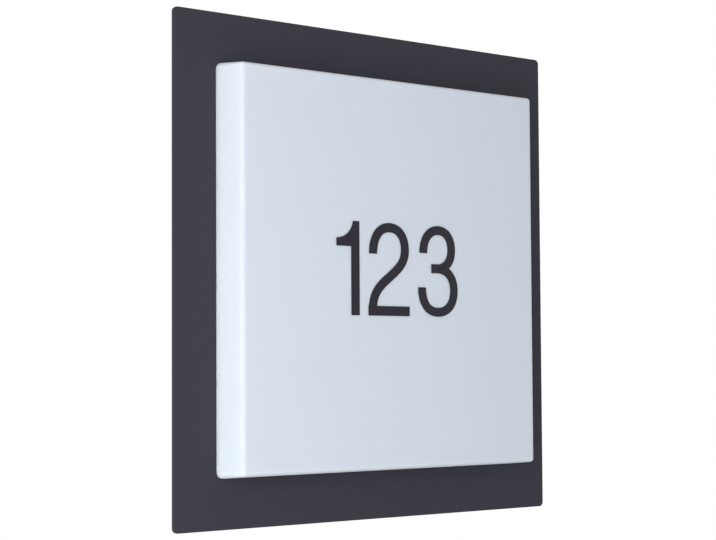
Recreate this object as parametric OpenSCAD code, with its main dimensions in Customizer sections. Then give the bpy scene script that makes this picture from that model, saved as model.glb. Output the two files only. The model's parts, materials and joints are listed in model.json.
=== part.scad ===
// Outdoor wall light with a square back plate and a square opal cover, made as one
// assembly of separate pieces. X runs to the right, Z up, and the wall is the plane Y = 0.
// The light stands off the wall towards -Y. All sizes are in millimetres.

/* [Back plate] */
// Width and height of the square back plate
plate_w = 300; // [270:1:360]
// Thickness of the plate's sheet
plate_t = 2; // [1.5:0.1:4]
// Corner radius of the plate
plate_r = 3; // [1:0.5:10]

/* [Diffuser cover] */
// Outer width of the cover at its foot
cover_w = 241; // [234:0.5:262]
// How far the cover's front stands off the plate
cover_depth = 23; // [22:0.5:40]
// Wall thickness of the cover
cover_t = 2.5; // [2:0.1:3]
// Corner radius of the cover's foot, seen from the front
cover_foot_r = 4.2; // [4.1:0.1:8]
// Radius that rounds the cover's front edges
cover_edge_r = 2.2; // [1:0.1:2.3]
// How far each side leans in from the foot to the front
cover_lean = 2; // [0.5:0.1:2.1]
// Gap between the cover's foot and the plate
foot_gap = 0.3; // [0.2:0.1:0.8]
// Thickness of the cover's outer skin beside its seal
foot_skin = 1.1; // [0.8:0.1:1.3]
// Radius inside the cover's front edges
inner_edge_r = 0.8; // [0.3:0.1:1.5]
// Width of the cover's seal
seal_w = 2.4; // [1.5:0.1:2.6]
// Thickness of the cover's seal
seal_t = 1.3; // [0.8:0.1:2]
// Distance from the middle to each nose that hooks the cover's top edge
nose_x = 70; // [40:1:95]
// Width of each nose
nose_w = 14; // [6:1:24]
// How far the noses reach into the tray's wall
nose_bite = 1; // [0.6:0.1:1.2]

/* [Light tray] */
// Height of the tray's wall
tray_h = 13; // [12.5:0.5:16]
// Thickness of the tray's wall
tray_wall = 1.8; // [1.4:0.1:2.2]
// Corner radius of the tray's wall
tray_r = 3; // [2.4:0.1:5]
// Thickness of the tray's floor
tray_floor = 2; // [1.5:0.1:3]
// Thickness of the flange that the cover's seal lies on
flange_t = 1; // [0.8:0.1:1.4]

/* [LEDs] */
// Number of LEDs on each strip
leds_per_strip = 7; // [5:1:8]
// Distance from a strip's end to its first LED
led_end = 11; // [9:0.5:14]
// Width of a strip
strip_w = 12; // [10:0.5:14]
// Distance from the middle of the outer strips to the tray's wall
strip_edge = 35; // [26:0.5:38]
// Gap between a strip's ends and the tray's wall
strip_gap = 6; // [5:0.5:9]
// Thickness of a strip
strip_t = 1.6; // [1:0.1:2]
// Height of the ribs under a strip
rib_h = 2; // [1.5:0.1:3]
// Distance from the rivets to the nearest LEDs' middle, as a share of the LEDs' pitch
rivet_share = 0.5; // [0.4:0.05:0.6]
// Width of an LED chip
chip_w = 2.8; // [2:0.1:3.4]
// Height of an LED chip
chip_h = 0.8; // [0.5:0.1:1]
// Radius of an LED lens at its foot
lens_r = 4.5; // [4:0.1:5.5]
// Height of an LED lens
lens_h = 3.4; // [2.8:0.1:4]
// Thickness of the white reflector film
film_t = 0.5; // [0.3:0.1:1]

/* [Rear housing] */
// Width of the rear housing
housing_w = 170; // [166:1:190]
// Depth of the rear housing
housing_depth = 21; // [20:0.5:30]
// Wall thickness of the rear housing
housing_wall = 2.4; // [2:0.1:3]
// Thickness of the rear housing's floor, against the plate
housing_floor = 2.4; // [2:0.1:3]
// Corner radius of the rear housing
housing_r = 9; // [7:0.5:14]
// Width of the housing's rim
rim_w = 5; // [4.4:0.1:6]
// Thickness of the rim
rim_t = 3.5; // [3:0.1:4]
// How far the rim stays off the wall
wall_gap = 1; // [0.5:0.1:2]
// Width of the foam wall seal
wall_seal_w = 2.4; // [2:0.1:2.8]
// Depth of the groove that holds the wall seal
seal_groove = 1.8; // [1.2:0.1:2.2]

/* [Wall bracket] */
// Thickness of the bracket's steel
steel_t = 1.5; // [1.2:0.1:2]
// Inner radius of the bracket's bends
bend_r = 0.8; // [0.5:0.1:1.2]
// Width of the bracket
bracket_w = 76; // [74:1:80]
// Width of the bracket's stem
stem_w = 22; // [18:1:30]
// Distance across between the wall screws
wall_screw_x = 56; // [50:1:58]
// Distance up between the wall screws
wall_screw_z = 50; // [44:1:52]
// Radius of the wall screw slots
wall_slot_r = 2.75; // [2:0.05:3]
// Length of the wall screw slots
wall_slot_l = 12; // [8:0.5:13]
// Width of the window for the wall cable
window_w = 30; // [20:1:34]
// Height of the window for the wall cable
window_h = 26; // [18:1:30]
// Height of the hooks' seat above the middle of the plate
hook_z = 37.5; // [36:0.5:42]
// Distance from the middle to each hook
hook_x = 20; // [17:0.5:22]
// Width of each hook
hook_w = 12; // [8:0.5:14]
// Height of the hooks' turned-up lip above their seat
lip_h = 5.5; // [4:0.5:6.5]
// Depth of the hanger's edge that rests on each hook
bar_t = 4; // [3:0.1:5]
// Width of the hanger
hanger_w = 64; // [64:1:70]
// How far the light lifts to clear the hooks
lift = 7; // [7:0.5:9]

/* [Screws and cable] */
// Distance from the middle to each cover screw
cover_screw_x = 70; // [50:1:90]
// How far the cover screws stand off the plate
cover_screw_rise = 6.5; // [6:0.1:7.5]
// Shank radius of the cover screws
cover_screw_r = 1.5; // [1.2:0.05:1.75]
// Length of the threaded inserts for the cover screws
insert_l = 5.5; // [4:0.5:7]
// Distance across from the middle to the four outer assembly screws
assembly_x = 70; // [68:0.5:74]
// Distance across from the middle to the two screws that hold the hanger
hanger_screw_x = 24; // [12:0.5:26]
// Shank radius of the assembly screws
assembly_screw_r = 1.5; // [1.25:0.05:1.75]
// Shank radius of the lock screw
lock_screw_r = 2; // [1.5:0.05:2.25]
// Distance of the lock screw off the wall
lock_screw_y = 11; // [10.5:0.1:12.5]
// Radius of the entry for a surface-run cable
cable_r = 4; // [3:0.1:4.4]
// Distance from the middle to that cable
cable_x = 45; // [38:1:56]
// Distance of that cable off the wall
cable_y = 12; // [11.8:0.1:12.4]

/* [Driver and terminals] */
// Width of the LED driver
driver_w = 32; // [26:1:34]
// Length of the LED driver's case
driver_l = 84; // [74:1:88]
// Height of the LED driver
driver_h = 15; // [12:0.5:16]
// Distance from the middle to the LED driver
driver_x = 58; // [56:0.5:60]
// Distance between the terminal block's poles
pole_pitch = 10; // [9:0.5:11]
// Length of the terminal block
block_l = 22; // [20:0.5:24]
// Height of the terminal block
block_h = 12; // [11:0.5:14]
// Distance from the middle to the terminal block
block_x = 58; // [56:0.5:60]
// Radius of the insulated leads
lead_r = 0.9; // [0.6:0.05:1]

/* [Hidden] */
$fn = 48;

// Clearances: a close fit, a loose fit, and the overlap that lets a cut pass right through
slip = 0.05;
play = 0.3;
cut = 1;

// Distances off the wall
plate_rear = wall_gap + housing_depth;
floor_rear = plate_rear - housing_floor;
plate_front = plate_rear + plate_t;
strip_rear = plate_front + tray_floor + rib_h;
film_rear = strip_rear + strip_t;
film_front = film_rear + film_t;
bar_rear = steel_t + play;
lip_rear = bar_rear + bar_t + bend_r + slip;

// The outsides of the cover, the flange and the seal share their corners' centres. The tray's
// wall and the cover's inside share theirs.
corner_at = cover_w / 2 - cover_foot_r;
flange_r = cover_foot_r - foot_skin - play;
seal_r = flange_r - play;
seal_play = 0.2;
tray_half = corner_at + seal_r - seal_w - seal_play;
tray_inside = tray_half - tray_wall;
tray_corner = tray_half - tray_r;
foot_rest = flange_t + seal_t;

// Sides of the cover
lean_angle = atan(cover_lean / cover_depth);
inner_foot = cover_w / 2 - cover_t / cos(lean_angle) - tray_corner;

// Middle of the cover's wall at half its depth
mid_wall = cover_w / 2 - cover_t / 2 - cover_lean / 2;

// Noses on the cover's top edge
nose_rise = 8;
nose_t = 2;
nose_tip = tray_half - nose_bite;
nose_swing = 0.8;

// Cover screws, sunk in the cover's lower side
cover_washer_t = 0.5;
cover_washer_r = cover_screw_r + 1.7;
cover_head_h = 1.2;
seat_gap = 0.5;
seat_t = 1.1;
seat_at = tray_half + seat_gap + seat_t;
pocket_r = cover_washer_r + play;
pocket_wall = 1.5;
insert_r = cover_screw_r + 0.6;
screw_boss_w = 2 * insert_r + 5;

// Lower edge of the bracket's wide part, below the middle
bracket_low = 36;

// Lock screw
tab_spare = 0.6;
tab_edge = 5.5;
tab_under = rim_w - housing_wall + lift + tab_spare;
tab_z = -housing_w / 2 + housing_wall + tab_under;
tab_reach = lock_screw_y + tab_edge;
nut_t = 3.2;
nut_r = 2 * lock_screw_r;
washer_t = 1;
lock_washer_r = lock_screw_r + 2.5;

// Assembly screws, earth stud and the hole for the LED leads
boss_r = assembly_screw_r + 2.4;
head_h = 2;
stud_x = -block_x;
stud_z = -42;
stud_r = 2;
lug_t = 0.8;
grommet_z = -56;
grommet_r = 3.5;
grommet_flange_r = 5;
grommet_flange_t = 1;

// LED driver and terminal block
ear_l = 9;
ear_w = 12;
ear_t = 2.5;
ear_boss_h = 4;
ear_screw_at = driver_l / 2 + ear_l / 2;
ear_screw_r = 1.5;
driver_side = driver_x - driver_w / 2;
grommet_x = driver_side + 4.5;
pad_h = 2.5;
block_screw_r = 1.4;
block_w = 3 * pole_pitch;
block_top = floor_rear - pad_h - block_h;
wire_at = floor_rear - pad_h - 5;

// The strips lie across the tray and are counted from the bottom. The assembly screws stand
// midway between the outer strips and the inner ones.
strips = 4;
strip_l = 2 * (tray_inside - strip_gap);
strip_pitch = 2 * (tray_inside - strip_edge) / (strips - 1);
led_pitch = (strip_l - 2 * led_end) / (leds_per_strip - 1);
assembly_z = strip_pitch * (strips / 2 - 1);
function strip_z(i) = (i - (strips + 1) / 2) * strip_pitch;
led_at = [for (i = [0:leds_per_strip - 1]) (i - (leds_per_strip - 1) / 2) * led_pitch];
rivet_at = [
    led_at[0] + rivet_share * led_pitch, led_at[2] + rivet_share * led_pitch,
    -led_at[2] - rivet_share * led_pitch, -led_at[0] - rivet_share * led_pitch
];
rivet_r = 1.5;
rivet_head_r = 2.8;
rivet_head_h = 0.8;
rivet_l = film_t + strip_t + rib_h + tray_floor - 0.6;
socket_w = 7;
socket_l = 6;
socket_h = 3;
lead_rise = 12;

// Colours
anthracite = [0.24, 0.24, 0.28];
opal = [0.93, 0.95, 0.97];
white = [0.92, 0.92, 0.9];
zinc = [0.72, 0.73, 0.75];
stainless = [0.62, 0.62, 0.64];
brass = [0.75, 0.6, 0.3];
black = [0.1, 0.1, 0.11];

// Places its children on the plane that lies d off the wall. Their +Y points up and their +Z
// away from the wall.
module off_wall(d) {
    translate([0, -d, 0]) rotate([90, 0, 0]) children();
}

// Extrudes a side view across X. The view's X is the distance off the wall and its Y is up.
module across(w) {
    rotate([90, 0, -90]) linear_extrude(w, center = true) children();
}

// Turns its children to point up from the distance d off the wall
module upright(x, d, z) {
    translate([x, -d, z]) children();
}

// Places its children at x and at -x
module both_sides(x) {
    for (side = [-1, 1]) translate([side * x, 0, 0]) children();
}

// Places its children at the four corners of a rectangle
module four(x, y) {
    for (sx = [-1, 1], sy = [-1, 1]) translate([sx * x, sy * y, 0]) children();
}

// Places its children at the assembly screws
module at_screws() {
    four(assembly_x, assembly_z) children();
    both_sides(hanger_screw_x) translate([0, assembly_z, 0]) children();
}

// Square of width w with rounded corners
module rounded(w, r) {
    square([w, w - 2 * r], center = true);
    square([w - 2 * r, w], center = true);
    four(w / 2 - r, w / 2 - r) circle(r);
}

// Round-ended slot along X
module slot(length, r) {
    square([length - 2 * r, 2 * r], center = true);
    both_sides(length / 2 - r) circle(r);
}

// Sweeps a section round a square whose corners' centres lie c from the middle. The section's
// X runs outwards from those centres.
module swept(c) {
    for (turn = [0:3]) rotate(90 * turn) translate([c, c, 0]) {
        rotate_extrude(angle = 90) children();
        rotate([90, 0, 0]) linear_extrude(2 * c) children();
    }
}

// Quarter of a bent sheet, from the direction a to a + 90
module bend(a) {
    rotate(a) intersection() {
        difference() {
            circle(bend_r + steel_t);
            circle(bend_r);
        }
        square(bend_r + steel_t + cut);
    }
}

// Screw along Z with its head below 0 and a hexagon socket
module socket_screw(r, length, head_r, head_h, socket) {
    cylinder(h = length, r = r);
    difference() {
        translate([0, 0, -head_h]) cylinder(h = head_h, r1 = head_r - 0.6, r2 = head_r);
        translate([0, 0, -head_h - cut]) cylinder(h = 0.6 * head_h + cut, r = socket, $fn = 6);
    }
}

function unit(v) = v / norm(v);

// Route through the points with each corner rounded over the length r
function route(p, r) = [
    p[0],
    for (i = [1:len(p) - 2])
        let (a = p[i] + r * unit(p[i - 1] - p[i]), b = p[i] + r * unit(p[i + 1] - p[i]))
            for (t = [0:0.25:1]) (1 - t) * (1 - t) * a + 2 * t * (1 - t) * p[i] + t * t * b,
    p[len(p) - 1]
];

// Direction of a route at its point i
function along(p, i) = unit(p[min(i + 1, len(p) - 1)] - p[max(i - 1, 0)]);

// Carries a side direction along the route without twist
function sides(p, side, i = 0) = i == len(p) ? [] :
    let (t = along(p, i), s = unit(side - (side * t) * t)) concat([s], sides(p, s, i + 1));

// Tube of radius r along a route
module lead(points, r, side) {
    path = route(points, lead_bend);
    n = 8;
    across_path = sides(path, side);
    rings = [
        for (i = [0:len(path) - 1])
            let (s = across_path[i], u = cross(along(path, i), s))
                for (k = [0:n - 1]) path[i] + r * (cos(360 * k / n) * s + sin(360 * k / n) * u)
    ];
    walls = [
        for (i = [0:len(path) - 2], k = [0:n - 1])
            let (a = i * n + k, b = i * n + (k + 1) % n)
                each [[a, b + n, b], [a, a + n, b + n]]
    ];
    last = (len(path) - 1) * n;
    polyhedron(rings, concat(walls, [[for (k = [0:n - 1]) k], [for (k = [n - 1:-1:0]) last + k]]));
}

module wall_bracket() {
    color(zinc) difference() {
        union() {
            off_wall(0) linear_extrude(steel_t) translate([0, hook_z / 2 - bracket_low / 2])
                square([bracket_w, hook_z + bracket_low - 2 * (bend_r + steel_t)], center = true);
            off_wall(0) linear_extrude(steel_t)
                translate([-stem_w / 2, tab_z + steel_t + bend_r])
                    square([stem_w, -tab_z - bracket_low]);
            both_sides(hook_x) across(hook_w) hook_section();
            across(stem_w) tab_section();
        }
        off_wall(-cut) linear_extrude(steel_t + 2 * cut) {
            four(wall_screw_x / 2, wall_screw_z / 2) slot(wall_slot_l, wall_slot_r);
            square([window_w, window_h], center = true);
        }
        upright(0, lock_screw_y, tab_z - cut)
            cylinder(h = steel_t + 2 * cut, r = lock_screw_r + play);
    }
}

// Side view of a hook: up the wall, out under the bar and up in front of it
module hook_section() {
    low = hook_z - steel_t - bend_r;
    translate([0, low - 2 * steel_t]) square([steel_t, 2 * steel_t]);
    translate([steel_t + bend_r, low]) bend(90);
    translate([steel_t + bend_r, hook_z - steel_t])
        square([lip_rear - steel_t - 2 * bend_r, steel_t]);
    translate([lip_rear - bend_r, hook_z + bend_r]) bend(270);
    translate([lip_rear, hook_z + bend_r]) square([steel_t, lip_h - bend_r]);
}

// Side view of the tab under the stem
module tab_section() {
    translate([steel_t + bend_r, tab_z + steel_t + bend_r]) bend(180);
    translate([steel_t + bend_r, tab_z]) square([tab_reach - steel_t - bend_r, steel_t]);
}

module lock_nut() {
    color(zinc) upright(0, lock_screw_y, tab_z + steel_t) difference() {
        cylinder(h = nut_t, r = nut_r, $fn = 6);
        translate([0, 0, -cut]) cylinder(h = nut_t + 2 * cut, r = lock_screw_r + slip);
    }
}

// Section of the housing's wall with its rim and the groove for the wall seal
module housing_section() {
    groove_w = wall_seal_w + 0.2;
    groove_at = housing_r - (rim_w + groove_w) / 2;
    difference() {
        union() {
            translate([housing_r - housing_wall, 0]) square([housing_wall, housing_depth]);
            translate([housing_r - rim_w, 0]) square([rim_w, rim_t]);
        }
        translate([groove_at, -cut]) square([groove_w, seal_groove + cut]);
    }
}

module rear_housing() {
    half = housing_w / 2;
    color(black) difference() {
        union() {
            off_wall(wall_gap) swept(half - housing_r) housing_section();
            off_wall(floor_rear) linear_extrude(housing_floor)
                rounded(housing_w - housing_wall, housing_r - housing_wall / 2);
            off_wall(floor_rear - ear_boss_h) linear_extrude(ear_boss_h + slip)
                for (z = [-1, 1]) translate([driver_x, z * ear_screw_at]) circle(ear_l / 2 - 0.4);
            off_wall(floor_rear - pad_h) translate([-block_x, 0, 0])
                linear_extrude(pad_h + slip) square([block_l + 2, block_w + 2], center = true);
        }
        off_wall(floor_rear - cut) linear_extrude(housing_floor + 2 * cut) {
            at_screws() circle(assembly_screw_r + 0.2);
            translate([grommet_x, grommet_z]) circle(grommet_r + slip);
            translate([stud_x, stud_z]) circle(stud_r + 0.4);
        }
        off_wall(floor_rear - ear_boss_h - cut) for (z = [-1, 1])
            translate([driver_x, z * ear_screw_at, 0])
                cylinder(h = ear_boss_h + cut + 1.4, r = ear_screw_r + slip);
        off_wall(floor_rear - pad_h - cut) for (z = [-1, 1])
            translate([-block_x, z * pole_pitch / 2, 0])
                cylinder(h = pad_h + cut + 1.4, r = block_screw_r + slip);
        upright(0, lock_screw_y, -half - cut) cylinder(h = 2 * housing_wall, r = lock_screw_r + play);
        upright(-cable_x, cable_y, -half - cut)
            cylinder(h = 2 * housing_wall, r = cable_r + 1.5 + slip);
    }
}

// Steel angle behind the plate. Its shelf rests on the hooks, whose lips stand in its slots.
module hanger_plate() {
    turn_at = floor_rear - steel_t - bend_r;
    foot_low = hook_z + steel_t + bend_r;
    foot_top = assembly_z + 2 * assembly_screw_r + 2;
    color(zinc) difference() {
        across(hanger_w) {
            translate([bar_rear, hook_z]) square([turn_at - bar_rear, steel_t]);
            translate([turn_at, foot_low]) bend(270);
            translate([turn_at + bend_r, foot_low]) square([steel_t, foot_top - foot_low]);
        }
        both_sides(hook_x) translate([0, -bar_rear - bar_t, hook_z - cut])
            mirror([0, 1, 0]) translate([-hook_w / 2 - 1, 0, 0])
                cube([hook_w + 2, bend_r + slip + steel_t + 1, steel_t + 2 * cut]);
        off_wall(floor_rear - steel_t - cut) both_sides(hanger_screw_x)
            translate([0, assembly_z, 0]) cylinder(h = steel_t + 2 * cut, r = assembly_screw_r + 0.2);
    }
}

module wall_seal() {
    mid = housing_r - rim_w / 2;
    color(black) off_wall(0) swept(housing_w / 2 - housing_r)
        translate([mid - wall_seal_w / 2, 0]) square([wall_seal_w, wall_gap + seal_groove]);
}

module back_plate() {
    color(anthracite) off_wall(plate_rear) difference() {
        linear_extrude(plate_t) rounded(plate_w, plate_r);
        translate([0, 0, -cut]) linear_extrude(plate_t + 2 * cut) {
            at_screws() circle(assembly_screw_r + 0.2);
            translate([grommet_x, grommet_z]) circle(grommet_r + slip);
            translate([stud_x, stud_z]) circle(stud_r + slip);
        }
    }
}

module assembly_screws() {
    length = housing_floor + plate_t + tray_floor + rib_h;
    color(stainless) {
        off_wall(floor_rear) four(assembly_x, assembly_z)
            socket_screw(assembly_screw_r, length, 2 * assembly_screw_r, head_h, 1.2);
        off_wall(floor_rear - steel_t) both_sides(hanger_screw_x) translate([0, assembly_z, 0])
            socket_screw(assembly_screw_r, length + steel_t, 2 * assembly_screw_r, head_h, 1.2);
    }
}

// Grommet closed by a thin skin, which a cable pierces where one is run along the wall
module cable_grommet() {
    collar = cable_r + 1.5;
    lip = 1.2;
    skin = 0.8;
    color(black) upright(-cable_x, cable_y, -housing_w / 2) difference() {
        union() {
            translate([0, 0, -lip]) cylinder(h = lip, r = collar + 1.5);
            cylinder(h = housing_wall, r = collar);
            translate([0, 0, housing_wall]) cylinder(h = lip, r = collar + 1.1);
        }
        translate([0, 0, -lip - cut]) cylinder(h = housing_wall + lip + cut, r = cable_r);
        translate([0, 0, housing_wall + skin]) cylinder(h = lip + cut, r = cable_r);
    }
}

module terminal_block() {
    color(white) off_wall(block_top) translate([-block_x, 0, 0]) difference() {
        union() {
            translate([0, 0, 3 + block_h / 2 - 1.5])
                cube([block_l - 6, block_w, block_h - 3], center = true);
            for (i = [-1:1]) translate([0, i * pole_pitch, block_h / 2])
                cube([block_l, pole_pitch - 3, block_h], center = true);
        }
        for (i = [-1:1]) translate([-block_l / 2 - cut, i * pole_pitch, block_h - 5])
            rotate([0, 90, 0]) cylinder(h = block_l + 2 * cut, r = 1.6);
        for (i = [-1:1]) both_sides(block_l / 2 - 5)
            translate([0, i * pole_pitch, -cut]) cylinder(h = block_h - 5 + cut, r = 1.9);
        for (i = [-1, 1]) translate([0, i * pole_pitch / 2, 0]) {
            cylinder(h = block_h + cut, r = block_screw_r + 0.2);
            cylinder(h = 3 + block_screw_r, r = 2 * block_screw_r + 0.2);
        }
    }
}

module terminal_screws() {
    color(brass) off_wall(block_top) translate([-block_x, 0, 0])
        for (i = [-1:1]) both_sides(block_l / 2 - 5)
            translate([0, i * pole_pitch, 1.5]) difference() {
                cylinder(h = block_h - 5 - 1.5 - lead_r - 0.1, r = 1.85);
                translate([-0.4, -2, -cut]) cube([0.8, 4, cut + 0.8]);
            }
}

module block_screws() {
    seat = 3 + block_screw_r;
    color(stainless) off_wall(block_top + seat) translate([-block_x, 0, 0])
        for (i = [-1, 1]) translate([0, i * pole_pitch / 2, 0])
            socket_screw(block_screw_r, block_h - seat + pad_h + 1.2, 2 * block_screw_r, 1.4, 0.9);
}

module led_driver() {
    bevel = 2.5;
    color(white) difference() {
        union() {
            off_wall(floor_rear - driver_h) translate([driver_x, 0, 0]) case_body(bevel);
            off_wall(floor_rear - ear_boss_h - ear_t) linear_extrude(ear_t) for (z = [-1, 1])
                translate([driver_x, z * (driver_l / 2 + ear_l / 2 - 1)])
                    square([ear_w, ear_l + 2], center = true);
        }
        off_wall(floor_rear - ear_boss_h - ear_t - cut) for (z = [-1, 1])
            translate([driver_x, z * ear_screw_at, 0])
                cylinder(h = ear_t + 2 * cut, r = ear_screw_r + 0.2);
    }
}

// Case of the driver with bevelled long edges
module case_body(bevel) {
    half = driver_w / 2;
    rotate([90, 0, 0]) linear_extrude(driver_l, center = true)
        polygon([
            [-half, driver_h], [half, driver_h], [half, bevel], [half - bevel, 0],
            [bevel - half, 0], [-half, bevel]
        ]);
}

module driver_screws() {
    color(stainless) off_wall(floor_rear - ear_boss_h - ear_t) for (z = [-1, 1])
        translate([driver_x, z * ear_screw_at, 0])
            socket_screw(ear_screw_r, ear_t + ear_boss_h + 1.2, 2 * ear_screw_r, head_h, 1.2);
}

// Routes of the leads: across, up and distance off the wall
run_at = floor_rear - lead_r - 0.4;
lane = 2 * lead_r + 0.4;
block_end = block_l / 2 - block_x;
over_driver = driver_l / 2 + ear_l + 4;
wire_in = 5;
wire_down = 12;
wire_turn = 6;
lead_bend = 2.5;

// Mains lead from one pole of the block, across the floor and into the driver's top end
module mains_lead(pole, n) {
    x = driver_side - 2 - n * lane;
    z = pole * pole_pitch;
    off_wall(0) lead([
        [block_end - wire_in, z, wire_at], [block_end + wire_in, z, wire_at],
        [block_end + wire_down, z, run_at], [x, z, run_at],
        [x, over_driver + n * lane, run_at],
        [driver_side + wire_in + n * lane, over_driver + n * lane, run_at],
        [driver_side + wire_in + n * lane, driver_l / 2, run_at]
    ], lead_r, [0, 0, 1]);
}

module live_lead() {
    color("saddlebrown") mains_lead(1, 1);
}

module neutral_lead() {
    color("royalblue") mains_lead(0, 0);
}

// Earth lead with a crimped ring for the stud
module earth_lead() {
    lug_r = 2 * stud_r + 1;
    barrel_r = lead_r + 0.4;
    barrel_at = floor_rear - barrel_r - slip;
    out = block_end + wire_turn;
    color("yellowgreen") off_wall(0) {
        lead([
            [stud_x + lug_r + 2, stud_z, barrel_at], [out, stud_z, barrel_at],
            [out, -pole_pitch, wire_at], [block_end - wire_in, -pole_pitch, wire_at]
        ], lead_r, [0, 0, 1]);
        difference() {
            union() {
                translate([stud_x, stud_z, floor_rear - lug_t]) cylinder(h = lug_t, r = lug_r);
                translate([stud_x + lug_r - 0.8, stud_z, barrel_at])
                    rotate([0, 90, 0]) cylinder(h = 5, r = barrel_r);
            }
            translate([stud_x, stud_z, floor_rear - lug_t - cut])
                cylinder(h = lug_t + 2 * cut, r = stud_r + slip);
        }
    }
}

module earth_stud() {
    color(stainless) off_wall(floor_rear - lug_t - nut_t - 2)
        translate([stud_x, stud_z, 0])
            cylinder(h = plate_front - floor_rear + lug_t + nut_t + 2, r = stud_r);
}

module earth_nut() {
    color(zinc) off_wall(floor_rear - lug_t - nut_t) translate([stud_x, stud_z, 0]) difference() {
        cylinder(h = nut_t, r = 2 * stud_r, $fn = 6);
        translate([0, 0, -cut]) cylinder(h = nut_t + 2 * cut, r = stud_r + slip);
    }
}

// Two leads from the driver's lower end through the plate to the socket on a strip
module led_leads() {
    gap = lead_r + 0.1;
    rear_at = floor_rear - grommet_flange_t - lead_r - play;
    tray_at = plate_front + tray_floor + grommet_flange_t + lead_r + 0.4;
    socket_end = strip_z(2) - socket_l / 2;
    color("firebrick") off_wall(0) for (x = [grommet_x - gap, grommet_x + gap]) lead([
        [x, -driver_l / 2, rear_at], [x, grommet_z, rear_at], [x, grommet_z, tray_at],
        [x, socket_end - lead_rise, tray_at], [x, socket_end - 5, film_front + 1.2],
        [x, socket_end, film_front + 1.2]
    ], lead_r, [1, 0, 0]);
}

module lead_grommet() {
    neck = housing_floor + plate_t + tray_floor;
    color(black) off_wall(floor_rear) translate([grommet_x, grommet_z, 0]) difference() {
        union() {
            translate([0, 0, -grommet_flange_t]) cylinder(h = grommet_flange_t, r = grommet_flange_r);
            cylinder(h = neck, r = grommet_r);
            translate([0, 0, neck]) cylinder(h = grommet_flange_t, r = grommet_flange_r);
        }
        translate([0, 0, -2 * cut]) cylinder(h = neck + 4 * cut, r = 2 * lead_r + 0.4);
    }
}

module light_tray() {
    color(white) off_wall(plate_front) difference() {
        union() {
            linear_extrude(tray_h) difference() {
                rounded(2 * tray_half, tray_r);
                rounded(2 * tray_inside, tray_r - tray_wall);
            }
            linear_extrude(tray_floor)
                rounded(2 * tray_inside + tray_wall, tray_r - tray_wall / 2);
            linear_extrude(flange_t) rounded(2 * (corner_at + flange_r), flange_r);
            for (i = [1:strips]) translate([0, strip_z(i), 0]) {
                for (side = [-1, 1]) translate([0, side * (strip_w / 2 - 1.5), tray_floor / 2])
                    linear_extrude(rib_h + tray_floor / 2) square([strip_l - 12, 1.5], center = true);
                for (x = rivet_at) translate([x, 0, 0]) cylinder(h = tray_floor + rib_h, r = rivet_r + 1.4);
            }
            at_screws() cylinder(h = film_rear - plate_front, r = boss_r);
            both_sides(cover_screw_x) screw_boss();
        }
        at_screws() translate([0, 0, -cut])
            cylinder(h = cut + tray_floor + rib_h + 0.3, r = assembly_screw_r + slip);
        for (i = [1:strips], x = rivet_at) translate([x, strip_z(i), 0.6])
            cylinder(h = tray_floor + rib_h, r = rivet_r + slip);
        translate([grommet_x, grommet_z, -cut]) cylinder(h = tray_floor + 2 * cut, r = grommet_r + slip);
        both_sides(cover_screw_x) translate([0, -tray_half - cut, cover_screw_rise])
            rotate([-90, 0, 0]) {
                cylinder(h = insert_l + cut, r = insert_r + slip);
                cylinder(h = insert_l + cut + 2, r = cover_screw_r + play);
            }
        both_sides(nose_x) translate([
            -nose_w / 2 - play, tray_inside - cut, nose_rise - play
        ]) cube([nose_w + 2 * play, tray_wall + 2 * cut, nose_t + nose_swing + play]);
    }
}

// Boss inside the tray's lower wall that holds a threaded insert
module screw_boss() {
    depth = insert_l + 4 - tray_wall;
    translate([-screw_boss_w / 2, -tray_inside - slip, 0])
        cube([screw_boss_w, depth, cover_screw_rise + insert_r + 1.5]);
}

module screw_inserts() {
    color(brass) off_wall(plate_front) both_sides(cover_screw_x)
        translate([0, -tray_half, cover_screw_rise]) rotate([-90, 0, 0]) difference() {
            cylinder(h = insert_l, r = insert_r);
            translate([0, 0, -cut]) cylinder(h = insert_l + 2 * cut, r = cover_screw_r + slip);
        }
}

module cover_seal() {
    color(black) off_wall(plate_front + flange_t) linear_extrude(seal_t) difference() {
        rounded(2 * (corner_at + seal_r), seal_r);
        rounded(2 * (tray_half + seal_play), tray_r + seal_play);
    }
}

module led_strip(i) {
    color(white) off_wall(strip_rear) translate([0, strip_z(i), 0]) difference() {
        translate([0, 0, strip_t / 2]) cube([strip_l, strip_w, strip_t], center = true);
        for (x = rivet_at) translate([x, 0, -cut]) cylinder(h = strip_t + 2 * cut, r = rivet_r + slip);
    }
}

module led_chips() {
    color([0.95, 0.85, 0.45]) off_wall(film_rear) for (i = [1:strips], x = led_at)
        translate([x, strip_z(i), chip_h / 2]) cube([chip_w, chip_w, chip_h], center = true);
}

// Domed lenses of one strip, each hollow over its chip
module led_lenses(i) {
    foot_h = 0.9;
    dome_h = lens_h - foot_h;
    dome_r = (lens_r * lens_r + dome_h * dome_h) / (2 * dome_h);
    hollow_r = chip_w * 0.71 + play;
    color(opal) off_wall(film_rear) for (x = led_at) translate([x, strip_z(i), 0]) difference() {
        intersection() {
            cylinder(h = lens_h + cut, r = lens_r);
            translate([0, 0, lens_h - dome_r]) sphere(dome_r);
        }
        translate([0, 0, -cut]) cylinder(h = cut + chip_h + play, r = hollow_r);
    }
}

module strip_rivets() {
    color(white) off_wall(film_front) for (i = [1:strips], x = rivet_at)
        translate([x, strip_z(i), 0]) {
            cylinder(h = rivet_head_h, r = rivet_head_r);
            translate([0, 0, -rivet_l]) cylinder(h = rivet_l, r = rivet_r);
        }
}

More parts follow.
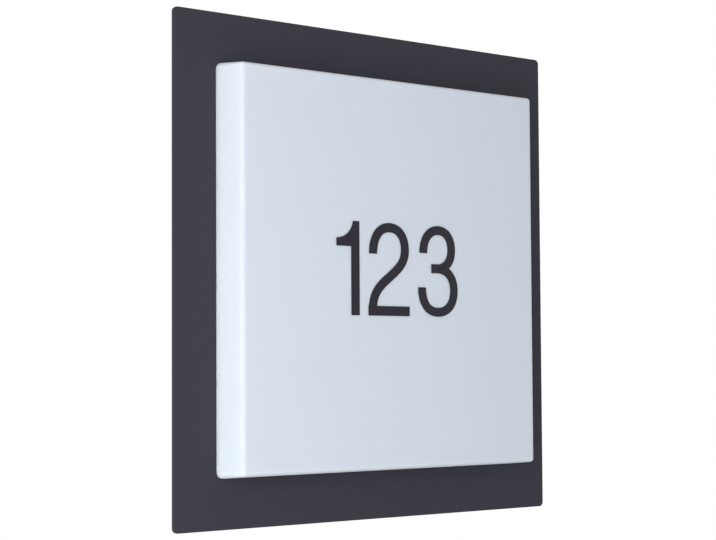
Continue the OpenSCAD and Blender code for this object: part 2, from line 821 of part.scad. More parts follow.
// Pairs of short leads that join each strip to the next
module strip_jumpers() {
    gap = strip_pitch - strip_w;
    color("firebrick") off_wall(strip_rear + strip_t / 2) for (i = [1:strips - 1], side = [-1, 1])
        translate([side * 1.5 - strip_l / 2 + 5, strip_z(i) + strip_w / 2, 0])
            rotate([-90, 0, 0]) cylinder(h = gap, r = strip_t / 2 - 0.1);
}

module strip_socket() {
    color(white) off_wall(film_rear) translate([grommet_x, strip_z(2), socket_h / 2])
        cube([socket_w, socket_l, socket_h], center = true);
}

module reflector_film() {
    half = tray_inside - play;
    window = [socket_w + 2, socket_l + lead_rise + 5];
    color(white) off_wall(film_rear) linear_extrude(film_t) difference() {
        rounded(2 * half, tray_r - tray_wall);
        for (i = [1:strips]) {
            for (x = led_at) translate([x, strip_z(i)]) circle(lens_r + play);
            for (x = rivet_at) translate([x, strip_z(i)]) circle(rivet_r + slip);
        }
        translate([grommet_x - window[0] / 2, strip_z(2) + socket_l / 2 + 1 - window[1]])
            square(window);
        both_sides(cover_screw_x) translate([-screw_boss_w / 2 - play, -half - cut])
            square([screw_boss_w + 2 * play, insert_l + 4 - tray_wall + cut + play]);
    }
}

// Section of a side that leans in from its foot and is rounded by r where it meets the top
module side_section(foot, low, top, r) {
    c = [foot - (top - r) * tan(lean_angle) - r / cos(lean_angle), top - r];
    tangent = c + r * [cos(lean_angle), sin(lean_angle)];
    polygon([[0, low], [foot - low * tan(lean_angle), low], tangent, c, c + [0, r], [0, top]]);
    intersection() {
        translate(c) circle(r);
        translate(c - [slip, slip]) square(r + cut);
    }
}

// Square body with such sides, whose corners' centres lie c from the middle
module leaning_body(c, foot, low, top, r) {
    swept(c) side_section(foot, low, top, r);
    translate([-c, -c, low]) cube([2 * c, 2 * c, top - low]);
}

module diffuser_cover() {
    rebate_r = cover_foot_r - foot_skin;
    color(opal) off_wall(plate_front) difference() {
        union() {
            difference() {
                leaning_body(corner_at, cover_foot_r, foot_gap, cover_depth, cover_edge_r);
                leaning_body(tray_corner, inner_foot, -cut, cover_depth - cover_t, inner_edge_r);
                translate([0, 0, -cut]) linear_extrude(foot_rest + cut)
                    rounded(2 * (corner_at + rebate_r), rebate_r);
            }
            both_sides(nose_x) translate([-nose_w / 2, nose_tip, nose_rise])
                cube([nose_w, mid_wall - nose_tip, nose_t]);
            both_sides(cover_screw_x) seat_boss();
        }
        both_sides(cover_screw_x) translate([0, -cover_w / 2 - cut, 0]) {
            foot_slot(pocket_r, cut + cover_w / 2 - seat_at);
            foot_slot(cover_screw_r + play, 2 * cut + cover_w / 2 - tray_half - seat_gap);
        }
    }
}

// Boss inside the cover's lower side that carries a screw's seat
module seat_boss() {
    half = pocket_r + pocket_wall;
    inner = tray_half + seat_gap;
    translate([-half, -mid_wall, foot_rest])
        cube([2 * half, mid_wall - inner, cover_screw_rise + half - foot_rest]);
}

// Slot of radius r along Y, round at its end and open to the cover's foot
module foot_slot(r, depth) {
    translate([-r, 0, -cut]) cube([2 * r, depth, cover_screw_rise + cut]);
    translate([0, 0, cover_screw_rise]) rotate([-90, 0, 0]) cylinder(h = depth, r = r);
}

// Places its children under the washer's seat on one side, pointing up
module at_cover_screw(side) {
    upright(side * cover_screw_x, plate_front + cover_screw_rise, -seat_at - cover_washer_t)
        children();
}

module cover_screw(side) {
    length = cover_washer_t + seat_t + seat_gap + insert_l - play;
    color(stainless) at_cover_screw(side)
        socket_screw(cover_screw_r, length, 1.9 * cover_screw_r, cover_head_h, 1.15);
}

module cover_washer(side) {
    color(black) at_cover_screw(side) difference() {
        cylinder(h = cover_washer_t, r = cover_washer_r);
        translate([0, 0, -cut]) cylinder(h = cover_washer_t + 2 * cut, r = cover_screw_r + slip);
    }
}

module lock_screw() {
    length = washer_t + housing_wall + tab_under + steel_t + nut_t + 0.5;
    color(stainless) upright(0, lock_screw_y, -housing_w / 2 - washer_t)
        socket_screw(lock_screw_r, length, 1.9 * lock_screw_r, 2.2, 1.4);
}

module lock_washer() {
    color(black) upright(0, lock_screw_y, -housing_w / 2 - washer_t) difference() {
        cylinder(h = washer_t, r = lock_washer_r);
        translate([0, 0, -cut]) cylinder(h = washer_t + 2 * cut, r = lock_screw_r + slip);
    }
}

wall_bracket();
lock_nut();
hanger_plate();
rear_housing();
wall_seal();
back_plate();
assembly_screws();
cable_grommet();
terminal_block();
terminal_screws();
block_screws();
led_driver();
driver_screws();
live_lead();
neutral_lead();
earth_lead();
earth_stud();
earth_nut();
led_leads();
lead_grommet();
light_tray();
screw_inserts();
cover_seal();
led_strip(1);  // led_strip_1
led_strip(2);  // led_strip_2
led_strip(3);  // led_strip_3
led_strip(4);  // led_strip_4
led_chips();
led_lenses(1);  // led_lenses_1
led_lenses(2);  // led_lenses_2
led_lenses(3);  // led_lenses_3
led_lenses(4);  // led_lenses_4
strip_rivets();
strip_jumpers();
strip_socket();
reflector_film();
diffuser_cover();
cover_screw(-1);  // cover_screw_left
cover_washer(-1);  // cover_washer_left
cover_screw(1);  // cover_screw_right
cover_washer(1);  // cover_washer_right
lock_screw();
lock_washer();
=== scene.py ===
import bmesh
import bpy
import json
import math
from mathutils import Matrix, Vector
from mathutils.geometry import delaunay_2d_cdt


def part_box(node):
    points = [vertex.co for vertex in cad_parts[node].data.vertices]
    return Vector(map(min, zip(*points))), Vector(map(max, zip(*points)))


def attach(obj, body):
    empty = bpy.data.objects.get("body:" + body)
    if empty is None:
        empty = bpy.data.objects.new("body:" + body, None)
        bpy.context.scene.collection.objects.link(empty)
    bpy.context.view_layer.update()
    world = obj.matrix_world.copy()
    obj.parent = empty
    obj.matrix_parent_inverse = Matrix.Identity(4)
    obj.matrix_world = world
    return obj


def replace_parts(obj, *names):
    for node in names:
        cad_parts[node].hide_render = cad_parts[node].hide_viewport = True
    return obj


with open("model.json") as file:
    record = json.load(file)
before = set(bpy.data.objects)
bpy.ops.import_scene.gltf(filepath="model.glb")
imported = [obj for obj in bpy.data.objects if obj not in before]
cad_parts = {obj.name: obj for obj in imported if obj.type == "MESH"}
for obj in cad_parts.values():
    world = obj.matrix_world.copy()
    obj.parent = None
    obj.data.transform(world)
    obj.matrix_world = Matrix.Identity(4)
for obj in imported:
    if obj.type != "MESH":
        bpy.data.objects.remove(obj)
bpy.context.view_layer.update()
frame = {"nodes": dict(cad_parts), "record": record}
nodes = frame["nodes"]

# ---------------------------------------------------------------- camera
# Solved from the photograph's straight edges, for a picture of this width.
PICTURE_W = 716
FOCAL_PX = 1852.3
SENSOR_W = 36.0
CAMERA_PLACE = (-0.7560, -0.8860, -0.0572)
yaw, pitch, roll = (math.radians(a) for a in (40.798, 3.026, -0.319))

cam_data = bpy.data.cameras.new("camera")
cam = bpy.data.objects.new("camera", cam_data)
bpy.context.scene.collection.objects.link(cam)
cam_data.sensor_fit = "HORIZONTAL"
cam_data.sensor_width = SENSOR_W
cam_data.lens = SENSOR_W * FOCAL_PX / PICTURE_W
forward = Vector((math.sin(yaw) * math.cos(pitch), math.cos(yaw) * math.cos(pitch),
                  math.sin(pitch)))
level = Vector((math.cos(yaw), -math.sin(yaw), 0))
upward = level.cross(forward)
right = math.cos(roll) * level + math.sin(roll) * upward
up = math.cos(roll) * upward - math.sin(roll) * level
turn = Matrix((right, up, -forward)).transposed()
cam.matrix_world = Matrix.Translation(CAMERA_PLACE) @ turn.to_4x4()
bpy.context.scene.camera = cam


# ---------------------------------------------------------------- material helpers
# Most of a noise texture's values lie between these two.
NOISE_LOW, NOISE_HIGH = 0.3, 0.7


class Shader:
    """One node material: a Principled shader with procedural colour, roughness and bump."""

    def __init__(self, name):
        self.mat = bpy.data.materials.new(name)
        self.mat.use_nodes = True
        self.tree = self.mat.node_tree
        self.bsdf = self.tree.nodes["Principled BSDF"]
        self.where = self.add("ShaderNodeTexCoord").outputs["Object"]

    def add(self, kind, **values):
        node = self.tree.nodes.new(kind)
        for key, value in values.items():
            setattr(node, key, value)
        return node

    def link(self, a, b):
        self.tree.links.new(a, b)

    def set(self, **values):
        for key, value in values.items():
            self.bsdf.inputs[key.replace("_", " ")].default_value = value
        return self

    def stretched(self, scale):
        mapping = self.add("ShaderNodeMapping")
        mapping.inputs["Scale"].default_value = scale
        self.link(self.where, mapping.inputs["Vector"])
        return mapping.outputs["Vector"]

    def noise(self, scale, detail=2.0, rough=0.5, where=None):
        node = self.add("ShaderNodeTexNoise")
        node.inputs["Scale"].default_value = scale
        node.inputs["Detail"].default_value = detail
        node.inputs["Roughness"].default_value = rough
        self.link(where or self.where, node.inputs["Vector"])
        return node.outputs["Fac"]

    def spread(self, value, low, high):
        """Spreads a noise over a range of levels."""
        node = self.add("ShaderNodeMapRange")
        for name, v in (("From Min", NOISE_LOW), ("From Max", NOISE_HIGH), ("To Min", low),
                        ("To Max", high)):
            node.inputs[name].default_value = v
        self.link(value, node.inputs["Value"])
        return node.outputs["Result"]

    def colours(self, value, *stops):
        node = self.add("ShaderNodeValToRGB")
        ramp = node.color_ramp
        while len(ramp.elements) < len(stops):
            ramp.elements.new(0.5)
        for element, (at, colour) in zip(ramp.elements, stops):
            element.position = at
            element.color = (*colour, 1)
        self.link(value, node.inputs["Fac"])
        return node.outputs["Color"]

    def between(self, value, dark, light):
        """Spreads a noise between two colours."""
        return self.colours(value, (NOISE_LOW, dark), (NOISE_HIGH, light))

    def math(self, operation, a, b):
        node = self.add("ShaderNodeMath", operation=operation)
        for i, v in enumerate((a, b)):
            if isinstance(v, (int, float)):
                node.inputs[i].default_value = v
            else:
                self.link(v, node.inputs[i])
        return node.outputs[0]

    def colour(self, socket):
        self.link(socket, self.bsdf.inputs["Base Color"])

    def roughness(self, socket):
        self.link(socket, self.bsdf.inputs["Roughness"])

    def bump(self, height, distance, strength=1.0):
        node = self.add("ShaderNodeBump")
        node.inputs["Distance"].default_value = distance
        node.inputs["Strength"].default_value = strength
        self.link(height, node.inputs["Height"])
        before = self.bsdf.inputs["Normal"]
        if before.is_linked:
            self.link(before.links[0].from_socket, node.inputs["Normal"])
        self.link(node.outputs["Normal"], before)


def shade(colour, amount):
    return tuple(min(1.0, c * amount) for c in colour)


def mottled(name, colour, rough, amount=0.06, scale=60.0, grain=2500.0, depth=0.00002):
    """Plastic or rubber: a little variation of colour and gloss over a fine grain."""
    rough_share = 0.06
    s = Shader(name)
    s.colour(s.between(s.noise(scale, 3.0), shade(colour, 1 - amount), shade(colour, 1 + amount)))
    s.roughness(s.spread(s.noise(scale * 4, 2.0), rough - rough_share, rough + rough_share))
    s.bump(s.noise(grain, 2.0), depth)
    return s


def brushed(name, colour, rough, stretch=(40.0, 1500.0, 1500.0), depth=0.000006):
    """Metal with a faint direction from rolling or turning."""
    s = Shader(name)
    lines = s.noise(1.0, 3.0, 0.6, s.stretched(stretch))
    s.colour(s.colours(lines, (0.25, shade(colour, 0.9)), (0.75, shade(colour, 1.07))))
    s.roughness(s.spread(lines, rough - 0.07, rough + 0.1))
    s.bump(lines, depth)
    return s.set(Metallic=1.0)


# ---------------------------------------------------------------- materials, one for each slot
def opal_cover():
    """Translucent white, with painted shade on the rounded edges: the base colour is made a little
    darker there.
    """
    s = Shader("opal_cover")
    # Painted shade: the base colour darkens where the normal turns between front and side, on the
    # rounded edges.
    split = s.add("ShaderNodeSeparateXYZ")
    s.link(s.add("ShaderNodeTexCoord").outputs["Normal"], split.inputs[0])
    facing = s.math("MULTIPLY", split.outputs["Y"], split.outputs["Y"])
    painted_edge_shade = s.math("MULTIPLY", facing, s.math("SUBTRACT", 1.0, facing))
    s.colour(s.colours(painted_edge_shade, (0.02, (0.617, 0.668, 0.745)), (0.22, (0.55, 0.59, 0.65))))
    s.set(Subsurface_Weight=1.0, Subsurface_Scale=0.004, Subsurface_Radius=(1.0, 0.95, 0.9),
          IOR=1.49, Specular_IOR_Level=0.06)
    s.roughness(s.spread(s.noise(700.0, 3.0), 0.40, 0.46))
    s.bump(s.noise(3000.0, 1.0), 0.000004)
    return s


def anthracite_coating():
    s = Shader("anthracite_coating")
    fine = s.noise(1800.0, 3.0, 0.6)
    s.colour(s.between(fine, (0.034, 0.0325, 0.0437), (0.043, 0.041, 0.0553)))
    s.roughness(s.spread(s.noise(90.0, 3.0), 0.44, 0.52))
    s.bump(s.noise(14.0, 2.0), 0.00012, 0.5)
    s.bump(fine, 0.00003)
    return s.set(Specular_IOR_Level=0.09)


def zinc_steel():
    s = brushed("zinc_steel", (0.60, 0.61, 0.62), 0.3, (60.0, 900.0, 60.0), 0.000004)
    cloud = s.noise(55.0, 4.0, 0.6)
    s.colour(s.colours(cloud, (0.3, (0.52, 0.54, 0.56)), (0.55, (0.63, 0.63, 0.62)),
                       (0.75, (0.66, 0.64, 0.58))))
    return s


def foam_rubber():
    s = Shader("foam_rubber")
    cells = s.add("ShaderNodeTexVoronoi")
    cells.inputs["Scale"].default_value = 2200.0
    s.link(s.where, cells.inputs["Vector"])
    s.colour(s.colours(cells.outputs["Distance"], (0.0, (0.008, 0.008, 0.009)),
                       (0.6, (0.03, 0.03, 0.032))))
    s.bump(cells.outputs["Distance"], 0.0001)
    return s.set(Roughness=0.9, Specular_IOR_Level=0.2)


def insulation(name, colour):
    s = mottled(name, colour, 0.3, 0.05, 200.0, 900.0, 0.00001)
    return s.set(Coat_Weight=0.2, Coat_Roughness=0.2)


def circuit_board():
    s = Shader("circuit_board")
    weave = s.add("ShaderNodeTexBrick")
    weave.inputs["Scale"].default_value = 900.0
    s.link(s.where, weave.inputs["Vector"])
    cloud = s.noise(120.0, 2.0)
    s.colour(s.between(cloud, (0.78, 0.79, 0.76), (0.84, 0.85, 0.83)))
    s.roughness(s.spread(cloud, 0.28, 0.4))
    s.bump(weave.outputs["Fac"], 0.000006)
    return s.set(Coat_Weight=0.3, Coat_Roughness=0.25)


def clear_lens():
    s = Shader("clear_lens")
    s.roughness(s.spread(s.noise(400.0, 2.0), 0.04, 0.09))
    s.bump(s.noise(250.0, 1.0), 0.00001, 0.3)
    return s.set(Base_Color=(0.95, 0.97, 0.98, 1), Transmission_Weight=0.92, IOR=1.49)


def led_phosphor():
    s = Shader("led_phosphor")
    grains = s.noise(9000.0, 2.0)
    s.colour(s.between(grains, (0.72, 0.50, 0.08), (0.86, 0.66, 0.16)))
    s.roughness(s.spread(grains, 0.25, 0.4))
    return s.set(Coat_Weight=0.6, Coat_Roughness=0.1)


def house_number():
    s = Shader("house_number")
    s.colour(s.between(s.noise(900.0, 2.0), (0.009, 0.0075, 0.0135), (0.013, 0.011, 0.0185)))
    s.roughness(s.spread(s.noise(60.0, 2.0), 0.36, 0.44))
    s.bump(s.noise(500.0, 1.0), 0.000006)
    return s.set(Specular_IOR_Level=0.25)


shaders = {
    "opal_cover": opal_cover(),
    "anthracite_coating": anthracite_coating(),
    "zinc_steel": zinc_steel(),
    "black_plastic": mottled("black_plastic", (0.022, 0.022, 0.024), 0.5, 0.1, 60.0, 1600.0,
                             0.00004),
    "foam_rubber": foam_rubber(),
    "stainless_steel": brushed("stainless_steel", (0.55, 0.54, 0.53), 0.26),
    "black_rubber": mottled("black_rubber", (0.016, 0.016, 0.017), 0.6, 0.12, 150.0),
    "terminal_plastic": mottled("terminal_plastic", (0.70, 0.68, 0.61), 0.42, 0.03),
    "brass_parts": brushed("brass_parts", (0.68, 0.50, 0.22), 0.28),
    "driver_case": mottled("driver_case", (0.74, 0.74, 0.71), 0.45, 0.02, 40.0, 1800.0, 0.00003),
    "brown_insulation": insulation("brown_insulation", (0.13, 0.052, 0.022)),
    "blue_insulation": insulation("blue_insulation", (0.02, 0.09, 0.40)),
    "green_insulation": insulation("green_insulation", (0.16, 0.36, 0.04)),
    "red_insulation": insulation("red_insulation", (0.42, 0.02, 0.02)),
    "white_tray": mottled("white_tray", (0.80, 0.80, 0.77), 0.4, 0.02, 30.0, 1500.0),
    "circuit_board": circuit_board(),
    "led_phosphor": led_phosphor(),
    "clear_lens": clear_lens(),
    "white_film": mottled("white_film", (0.84, 0.84, 0.84), 0.55, 0.015, 25.0, 700.0),
    "house_number": house_number(),
}
slot_of = {part["node"]: part["material_slot"] for part in frame["record"]["subparts"]}
for name, node in nodes.items():
    for slot in node.material_slots:
        slot.material = shaders[slot_of[name]].mat


# ---------------------------------------------------------------- mesh helpers
def piece(name, bm, body, material, smooth=True):
    """Makes an object of a bmesh that rides on a CAD body."""
    bmesh.ops.recalc_face_normals(bm, faces=bm.faces)
    mesh = bpy.data.meshes.new(name)
    bm.to_mesh(mesh)
    bm.free()
    for face in mesh.polygons:
        face.use_smooth = smooth
    mesh.materials.append(shaders[material].mat)
    obj = bpy.data.objects.new(name, mesh)
    bpy.context.scene.collection.objects.link(obj)
    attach(obj, body)
    return obj


def bevelled(obj, width):
    """Rounds an object's sharp edges a little. CAD nodes come with split corners, so weld first."""
    weld = obj.modifiers.new("weld", "WELD")
    weld.merge_threshold = 0.000001
    bevel = obj.modifiers.new("bevel", "BEVEL")
    bevel.width = width
    bevel.segments = 3
    bevel.limit_method = "ANGLE"
    bevel.angle_limit = math.radians(30)
    bevel.use_clamp_overlap = True
    normals = obj.modifiers.new("normals", "WEIGHTED_NORMAL")
    normals.weight = 100
    normals.keep_sharp = False


# ---------------------------------------------------------------- the number on the cover
# All in mm. The number's middle is measured from the cover's.
DIGIT_H, DIGIT_GAP = 56.5, 7.0
STEM, BAR = 6.5, 5.6  # widths of upright and of level strokes
NUMBER_X, NUMBER_Z = 1.1, 2.5
FIGURE_FILM_T = 0.12


def cubic(p0, p1, p2, p3, n=24):
    out = []
    for i in range(n):
        t = i / n
        a, b, c, d = (1 - t) ** 3, 3 * t * (1 - t) ** 2, 3 * t * t * (1 - t), t ** 3
        out.append((a * p0[0] + b * p1[0] + c * p2[0] + d * p3[0],
                    a * p0[1] + b * p1[1] + c * p2[1] + d * p3[1]))
    return out


def spline(*points):
    """Cubic segments: start, then two handles and an end for each."""
    out, start = [], points[0]
    for i in range(1, len(points), 3):
        out += cubic(start, *points[i:i + 3])
        start = points[i + 2]
    return out + [start]


def stroke(path):
    """Outline of a line drawn with an upright oval nib, so that sides are wider than tops."""
    a, b = STEM / 2, BAR / 2
    left, right = [], []
    for i, (x, y) in enumerate(path):
        (x0, y0), (x1, y1) = path[max(i - 1, 0)], path[min(i + 1, len(path) - 1)]
        size = math.hypot(x1 - x0, y1 - y0)
        nx, ny = -(y1 - y0) / size, (x1 - x0) / size
        reach = math.hypot(a * nx, b * ny)
        dx, dy = a * a * nx / reach, b * b * ny / reach
        left.append((x + dx, y + dy))
        right.append((x - dx, y - dy))
    return left + right[::-1]


def digit_one():
    h, w = DIGIT_H, 18.0
    top = cubic((w - 5.0, h), (w - 6.4, h - 6.6), (w - 11.0, h - 10.0), (0, h - 10.4), 16)
    return [[(w, 0), (w, h)] + top + [(0, h - 10.4), (0, h - 15.2), (w - STEM, h - 15.2),
            (w - STEM, 0)]], w


def digit_two():
    h, w = DIGIT_H, 33.5
    a, b = STEM / 2, BAR / 2
    bowl = spline(
        (a + 0.6, h - 19.0),
        (a + 0.6, h - 9.0), (w / 2 - 7.6, h - b), (w / 2 + 0.4, h - b),
        (w / 2 + 8.6, h - b), (w - a - 0.4, h - 8.2), (w - a - 0.4, h - 16.2),
        (w - a - 0.4, h - 24.0), (w - 9.4, h - 28.0), (w / 2 + 0.2, 23.4),
        (8.6, 17.6), (a + 0.2, 13.4), (a + 0.2, 3.0))
    base = [(0, 0), (w, 0), (w, BAR + 0.3), (0, BAR + 0.3)]
    return [stroke(bowl), base], w


def digit_three():
    h, w = DIGIT_H, 34.0
    a, b = STEM / 2, BAR / 2
    mid = h / 2 + 1.6
    upper = spline(
        (a + 1.4, h - 17.2),
        (a + 1.4, h - 8.4), (w / 2 - 7.2, h - b), (w / 2 + 0.2, h - b),
        (w / 2 + 7.8, h - b), (w - a - 2.2, h - 8.2), (w - a - 2.2, h - 14.8),
        (w - a - 2.2, mid + 4.2), (w / 2 + 6.2, mid), (w / 2 - 0.6, mid),
        (w / 2 - 2.6, mid), (w / 2 - 4.0, mid), (w / 2 - 5.6, mid))
    lower = spline(
        (w / 2 - 5.6, mid),
        (w / 2 - 4.0, mid), (w / 2 - 2.6, mid), (w / 2 - 0.4, mid),
        (w / 2 + 8.4, mid), (w - a - 0.2, mid - 5.4), (w - a - 0.2, mid - 13.2),
        (w - a - 0.2, 7.6), (w / 2 + 8.0, b), (w / 2 - 0.2, b),
        (w / 2 - 8.2, b), (a + 0.2, 7.8), (a + 0.2, 18.0))
    return [stroke(upper), stroke(lower)], w


def house_digits(front_y):
    """Film figures on the cover's front, each one flat piece with cut edges."""
    digits = [digit_one(), digit_two(), digit_three()]
    x = NUMBER_X - (sum(w for _, w in digits) + DIGIT_GAP * (len(digits) - 1)) / 2
    for n, (outlines, w) in enumerate(digits, 1):
        flat, faces = [], []
        for outline in outlines:
            faces.append(list(range(len(flat), len(flat) + len(outline))))
            flat += [Vector(p) for p in outline]
        verts, _, tris, *_ = delaunay_2d_cdt(flat, [], faces, 1, 1e-5)
        bm = bmesh.new()
        made = [bm.verts.new(((x + v.x) / 1000, front_y, (NUMBER_Z - DIGIT_H / 2 + v.y) / 1000))
                for v in verts]
        for tri in tris:
            bm.faces.new([made[i] for i in tri])
        grown = bmesh.ops.extrude_face_region(bm, geom=bm.faces[:])
        moved = [g for g in grown["geom"] if isinstance(g, bmesh.types.BMVert)]
        bmesh.ops.translate(bm, verts=moved, vec=(0, -FIGURE_FILM_T / 1000, 0))
        bmesh.ops.dissolve_limit(bm, angle_limit=math.radians(0.1), verts=bm.verts[:],
                                 edges=bm.edges[:])
        piece(f"house_digit_{n}", bm, "cover", "house_number", smooth=False)
        x += w + DIGIT_GAP


house_digits(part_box("diffuser_cover")[0].y)


# ---------------------------------------------------------------- turned pieces
TO_FRONT = Matrix.Rotation(math.radians(90), 4, "X")  # local +Z to the front
TO_WALL = Matrix.Rotation(math.radians(-90), 4, "X")  # local +Z to the wall
M3_R, M3_PITCH = 1.5, 0.5
M4_R, M4_PITCH = 2.0, 0.7
NUT_BORE = 2.02
STUD_R = 1.99
THREAD_DEPTH = 0.55  # share of the pitch
STEPS_PER_TURN = 6


def hexagon(apothem):
    return lambda a: apothem / math.cos(a % math.radians(60) - math.radians(30))


def squared(half):
    return lambda a: half / max(abs(math.cos(a)), abs(math.sin(a)))


def within(shape, limit):
    return lambda a: min(shape(a), limit)


def turned(rows, at, turn=None, columns=36, bored=False, bm=None):
    """Rings round local +Z, in mm. A row is a height and a radius or a radius for each angle."""
    bm = bm or bmesh.new()
    place = Matrix.Translation(at) @ (turn or Matrix.Identity(4)) @ Matrix.Scale(0.001, 4)
    angles = [math.tau * k / columns for k in range(columns)]

    def ring(z, radius):
        size = [radius(a) if callable(radius) else radius for a in angles]
        return [bm.verts.new(place @ Vector((r * math.cos(a), r * math.sin(a), z)))
                for r, a in zip(size, angles)]

    rings = [ring(z, radius) for z, radius in rows]
    pairs = list(zip(rings, rings[1:]))
    if bored:
        pairs.append((rings[-1], rings[0]))
    for one, two in pairs:
        for k in range(columns):
            j = (k + 1) % columns
            bm.faces.new((one[k], one[j], two[j], two[k]))
    if not bored:
        for end, (z, _) in ((rings[0], rows[0]), (rings[-1], rows[-1])):
            middle = bm.verts.new(place @ Vector((0, 0, z)))
            for k in range(columns):
                bm.faces.new((middle, end[k], end[(k + 1) % columns]))
    return bm


def thread(radius, pitch, start, end):
    """Rows of a right-hand thread with a chamfered end."""
    depth = THREAD_DEPTH * pitch
    steps = round(STEPS_PER_TURN * (end - start) / pitch)
    rows = []
    for i in range(steps + 1):
        z = start + (end - start) * i / steps
        most = radius - max(0.0, z - (end - 1.2 * depth))

        def size(a, z=z, most=most):
            crest = abs(2 * ((z / pitch - a / math.tau) % 1) - 1)
            return min(most, radius - depth * (1 - min(1.0, max(0.0, (crest - 0.12) / 0.7))))

        rows.append((z, size))
    return rows


def screw(node, body, radius, head_h, socket, pitch, threaded):
    """Socket screw that points up, in the place of a CAD node."""
    low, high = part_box(node)
    length = (high.z - low.z) * 1000
    head = (high.x - low.x) * 500
    hole = hexagon(socket * math.cos(math.radians(30)))
    rows = [
        (0.6 * head_h, hole), (0.1, hole), (0, lambda a: hole(a) + 0.12),
        (0, head - 0.72), (0.07, head - 0.6), (0.35 * head_h, head - 0.3),
        (0.7 * head_h, head - 0.1), (head_h - 0.08, head), (head_h, head - 0.05),
        (head_h, radius + 0.1), (head_h + 0.1, radius - 0.02), (length - threaded, radius - 0.02),
    ] + thread(radius - 0.01, pitch, length - threaded + 0.1, length)
    bm = turned(rows, ((low.x + high.x) / 2, (low.y + high.y) / 2, low.z))
    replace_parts(piece(f"{node}_turned", bm, body, "stainless_steel"), node)


screw("cover_screw_left", "left_screw", M3_R, 1.2, 1.15, M3_PITCH, 6.2)
screw("cover_screw_right", "right_screw", M3_R, 1.2, 1.15, M3_PITCH, 6.2)
screw("lock_screw", "lock_screw", M4_R, 2.2, 1.4, M4_PITCH, 9.0)


def nut(node, body, across, h, at, turn=None):
    """Hexagon nut with chamfered corners and bore, in the place of a CAD node."""
    half, h = across * 500, h * 1000
    flat = hexagon(half)
    outer = [(0, half), (0.14, within(flat, half + 0.24)), (0.31, flat)]
    rows = (outer + [(h - z, r) for z, r in reversed(outer)]
            + [(h, NUT_BORE + 0.25), (h - 0.25, NUT_BORE), (0.25, NUT_BORE),
               (0, NUT_BORE + 0.25)])
    bm = turned(rows, at, turn, bored=True)
    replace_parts(piece(f"{node}_turned", bm, body, "zinc_steel"), node)


low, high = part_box("lock_nut")
nut("lock_nut", "bracket", high.y - low.y, high.z - low.z,
    ((low.x + high.x) / 2, (low.y + high.y) / 2, low.z))

low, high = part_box("earth_nut")
nut("earth_nut", "light", high.z - low.z, high.y - low.y,
    ((low.x + high.x) / 2, high.y, (low.z + high.z) / 2), TO_FRONT)

low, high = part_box("earth_stud")
length = (high.y - low.y) * 1000
bm = turned([(0, 1.9), (0.05, STUD_R), (3.0, STUD_R)] + thread(STUD_R, M4_PITCH, 3.1, length),
            ((low.x + high.x) / 2, low.y, (low.z + high.z) / 2), TO_WALL)
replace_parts(piece("earth_stud_turned", bm, "light", "stainless_steel"),
            "earth_stud")

# LED packages: a white frame round a filled cup
LEDS_PER_STRIP, STRIPS = 7, 4
CHIP = 2.8
CHIP_SIDES = 32
low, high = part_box("led_chips")
chip_t = (high.y - low.y) * 1000
bodies, cups = bmesh.new(), bmesh.new()
for i in range(LEDS_PER_STRIP):
    for j in range(STRIPS):
        at = (low.x + CHIP / 2000 + (high.x - low.x - CHIP / 1000) * i / (LEDS_PER_STRIP - 1),
              high.y,
              low.z + CHIP / 2000 + (high.z - low.z - CHIP / 1000) * j / (STRIPS - 1))
        turned([(0, squared(1.4)), (0.7, squared(1.4)), (chip_t, squared(1.34)),
                (chip_t, within(squared(1.1), 1.4)), (0.62, within(squared(1.02), 1.3))],
               at, TO_FRONT, CHIP_SIDES, bm=bodies)
        turned([(0.6, within(squared(1.03), 1.31)), (0.66, within(squared(1.03), 1.31)),
                (0.72, within(squared(0.75), 0.95)), (0.74, within(squared(0.35), 0.45))],
               at, TO_FRONT, CHIP_SIDES, bm=cups)
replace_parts(piece("led_packages", bodies, "light", "terminal_plastic"),
            "led_chips")
piece("led_cups", cups, "light", "led_phosphor")

# ---------------------------------------------------------------- small rounds on CAD edges
for name, width in {
    "back_plate": 0.0005, "rear_housing": 0.0004, "wall_bracket": 0.00015,
    "hanger_plate": 0.00015, "light_tray": 0.0003, "terminal_block": 0.0003,
    "led_driver": 0.0005, "strip_socket": 0.0002, "lead_grommet": 0.0002,
    "cable_grommet": 0.00025, "lock_washer": 0.00015, "cover_washer_left": 0.0001,
    "cover_washer_right": 0.0001, "wall_seal": 0.0003, "cover_seal": 0.0002,
    "assembly_screws": 0.0001, "driver_screws": 0.0001, "block_screws": 0.0001,
    "terminal_screws": 0.0001, "strip_rivets": 0.0002,
}.items():
    bevelled(nodes[name], width)


# ---------------------------------------------------------------- floor, light and background
LAMP_SIZE = (0.6, 1.2)
FLOOR_Z, FLOOR_SIDES = -0.9, 64
FLOOR_RADII = (0.6, 1.5, 3.0, 6.0)


def lamp(name, place, power, colour=(1, 1, 1)):
    """Rectangular area lamp that faces the origin."""
    data = bpy.data.lights.new(name, "AREA")
    data.shape = "RECTANGLE"
    data.size, data.size_y = LAMP_SIZE
    data.energy = power
    data.color = colour
    obj = bpy.data.objects.new(name, data)
    bpy.context.scene.collection.objects.link(obj)
    obj.matrix_world = Matrix.Translation(place) @ (
        Vector(place).to_track_quat("Z", "Y").to_matrix().to_4x4())


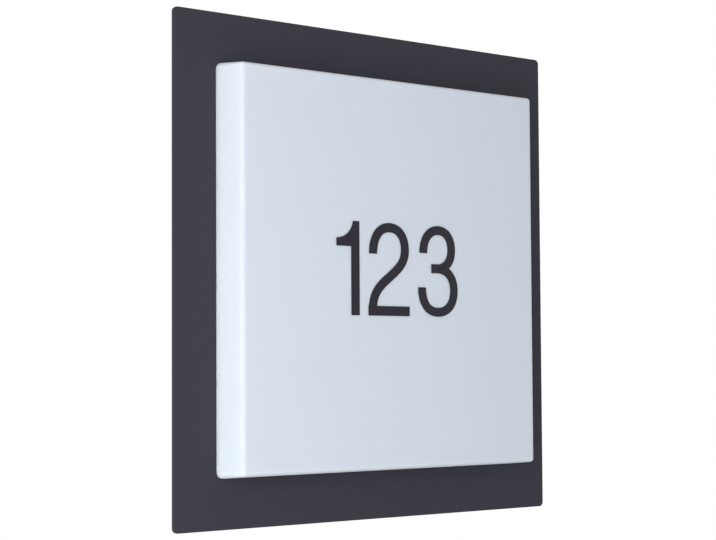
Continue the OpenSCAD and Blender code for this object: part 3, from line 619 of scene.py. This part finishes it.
lamp("side", (-1.25, -0.25, -0.12), 8.1, (0.99, 1.0, 0.91))
lamp("front", (-0.65, -0.80, -0.12), 8.5)

bm = bmesh.new()
angles = [math.tau * k / FLOOR_SIDES for k in range(FLOOR_SIDES)]
rings = [[bm.verts.new((r * math.cos(a), r * math.sin(a), FLOOR_Z)) for a in angles]
         for r in FLOOR_RADII]
bm.faces.new(rings[0])
for inner, outer in zip(rings, rings[1:]):
    for k in range(FLOOR_SIDES):
        j = (k + 1) % FLOOR_SIDES
        bm.faces.new((inner[k], outer[k], outer[j], inner[j]))
floor_mesh = bpy.data.meshes.new("floor")
bm.to_mesh(floor_mesh)
bm.free()
floor = bpy.data.objects.new("floor", floor_mesh)
bpy.context.scene.collection.objects.link(floor)
floor_shader = Shader("floor")
floor_shader.colour(floor_shader.between(floor_shader.noise(3.0, 2.0), (0.68, 0.68, 0.68),
                                         (0.72, 0.72, 0.72)))
floor_shader.set(Roughness=0.9, Specular_IOR_Level=0.1, Emission_Color=(1, 1, 1, 1))


def by_ray(tree, socket, lighting, seen):
    """One level for the rays that light things, another for those that show the background."""
    rays = tree.nodes.new("ShaderNodeLightPath")
    total = rays.outputs["Is Camera Ray"]
    for kind in ("Is Glossy Ray", "Is Transmission Ray"):
        most = tree.nodes.new("ShaderNodeMath")
        most.operation = "MAXIMUM"
        tree.links.new(total, most.inputs[0])
        tree.links.new(rays.outputs[kind], most.inputs[1])
        total = most.outputs[0]
    between = tree.nodes.new("ShaderNodeMapRange")
    between.inputs["To Min"].default_value = lighting
    between.inputs["To Max"].default_value = seen
    tree.links.new(total, between.inputs["Value"])
    tree.links.new(between.outputs["Result"], socket)


by_ray(floor_shader.tree, floor_shader.bsdf.inputs["Emission Strength"], lighting=0.0, seen=0.55)
floor_mesh.materials.append(floor_shader.mat)

world = bpy.data.worlds.new("world")
bpy.context.scene.world = world
world.use_nodes = True
background = world.node_tree.nodes["Background"]
background.inputs["Color"].default_value = (1, 1, 1, 1)
by_ray(world.node_tree, background.inputs["Strength"], lighting=0.49, seen=1.0)
bpy.context.scene.view_settings.view_transform = "Standard"
